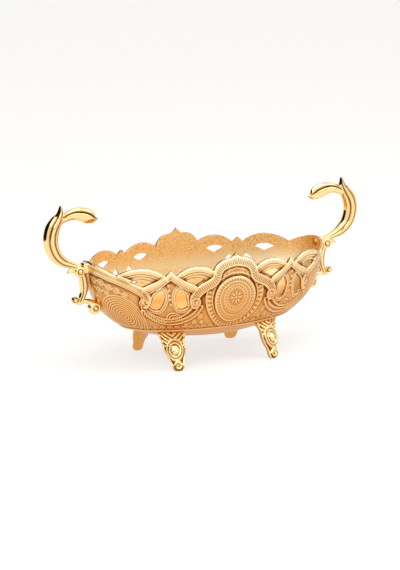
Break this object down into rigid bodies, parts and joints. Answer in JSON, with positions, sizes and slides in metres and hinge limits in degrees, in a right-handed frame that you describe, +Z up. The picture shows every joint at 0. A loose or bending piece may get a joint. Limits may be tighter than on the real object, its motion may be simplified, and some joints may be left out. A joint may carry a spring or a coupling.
{
  "type": "footed chocolate dish",
  "caption": "Boat-shaped footed sweet dish with a pierced scalloped rim, raised scroll work and an upswept scroll handle at each end.",
  "frame": {"origin": "on the ground under the middle of the bowl", "axes": "+X along the bowl towards the right handle, -Y is the front, +Z up"},
  "size_m": [0.2998, 0.1152, 0.1427],
  "materials": {
    "gilt_bowl": "satin gilt casting",
    "gilt_foot": "polished gilt casting",
    "gilt_handle": "polished gilt casting",
    "gilt_screw": "plated"
  },
  "bodies": {
    "root": {"bowl": "gilt_bowl", "front_left_foot": "gilt_foot", "front_right_foot": "gilt_foot", "rear_left_foot": "gilt_foot", "rear_right_foot": "gilt_foot", "left_handle": "gilt_handle", "right_handle": "gilt_handle", "foot_screws": "gilt_screw", "handle_screws": "gilt_screw"}
  },
  "joints": []
}
